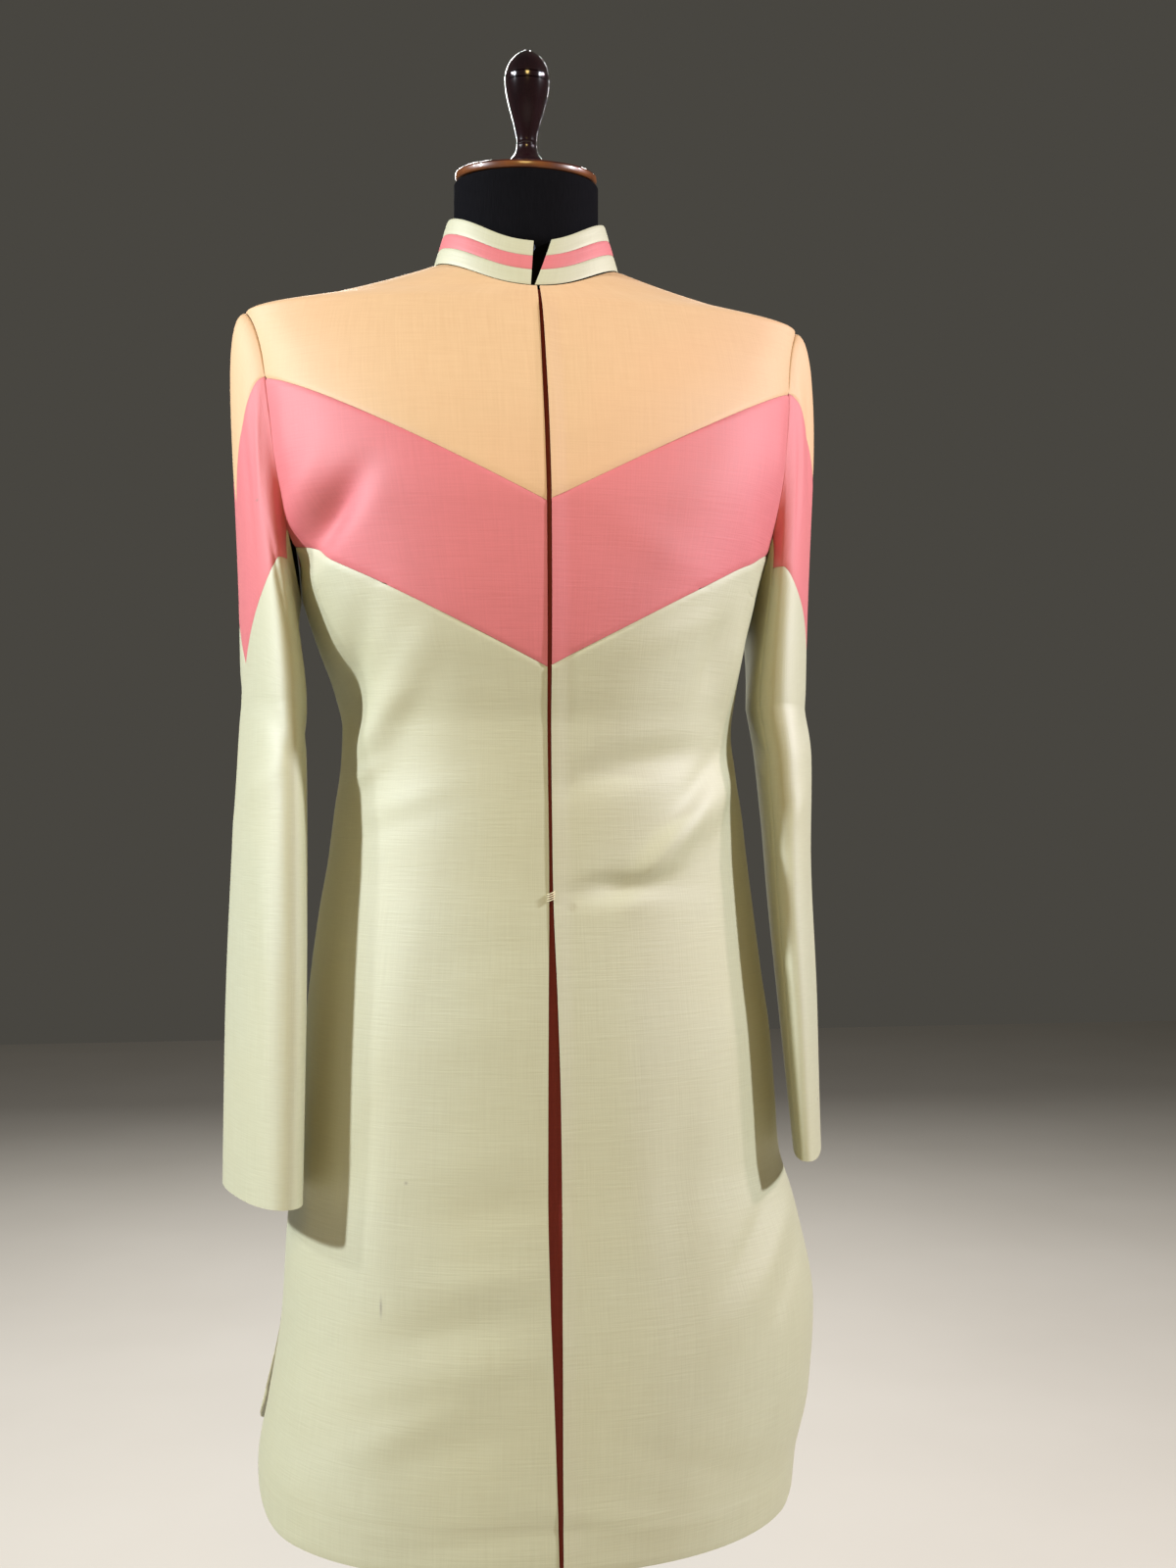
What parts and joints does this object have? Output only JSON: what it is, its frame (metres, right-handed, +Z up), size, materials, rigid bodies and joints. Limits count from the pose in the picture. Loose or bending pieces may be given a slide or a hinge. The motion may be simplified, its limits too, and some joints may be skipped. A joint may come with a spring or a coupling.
{
  "type": "sherwani coat on a dress form",
  "caption": "Knee-length panelled sherwani coat with stand collar, chevron band and concealed front opening, on a limbless dress form with a turned finial and pole stand",
  "frame": {"origin": "centre of the stand's underside, on the floor", "axes": "+Z up; the coat's front faces -Y; the wearer's left is +X"},
  "size_m": [0.4675, 0.36, 1.6563],
  "materials": {
    "cream_cloth": "satin-faced slub weave",
    "coral_cloth": "satin-faced slub weave",
    "peach_cloth": "satin-faced slub weave",
    "rust_cloth": "plain weave",
    "navy_wire": "dark lacquered wire",
    "black_jersey": "fine jersey",
    "lacquered_wood": "dark red-brown lacquer",
    "gloss_wood": "near-black burgundy gloss",
    "dark_metal": "satin black paint"
  },
  "bodies": {
    "root": {"right_front_lower": "cream_cloth", "right_front_chevron": "coral_cloth", "right_front_yoke": "peach_cloth", "right_back_lower": "cream_cloth", "right_back_chevron": "coral_cloth", "right_back_yoke": "peach_cloth", "right_sleeve_lower": "cream_cloth", "right_sleeve_band": "coral_cloth", "right_sleeve_cap": "peach_cloth", "right_under_sleeve": "cream_cloth", "left_front_lower": "cream_cloth", "left_front_chevron": "coral_cloth", "left_front_yoke": "peach_cloth", "left_back_lower": "cream_cloth", "left_back_chevron": "coral_cloth", "left_back_yoke": "peach_cloth", "left_sleeve_lower": "cream_cloth", "left_sleeve_band": "coral_cloth", "left_sleeve_cap": "peach_cloth", "left_under_sleeve": "cream_cloth", "collar_lower_band": "cream_cloth", "collar_coral_band": "coral_cloth", "collar_upper_band": "cream_cloth", "front_opening_strip": "rust_cloth", "collar_hook": "navy_wire", "form_torso": "black_jersey", "form_neck_cap": "lacquered_wood", "form_finial": "gloss_wood", "stand_pole": "dark_metal", "stand_base": "dark_metal"}
  },
  "joints": []
}
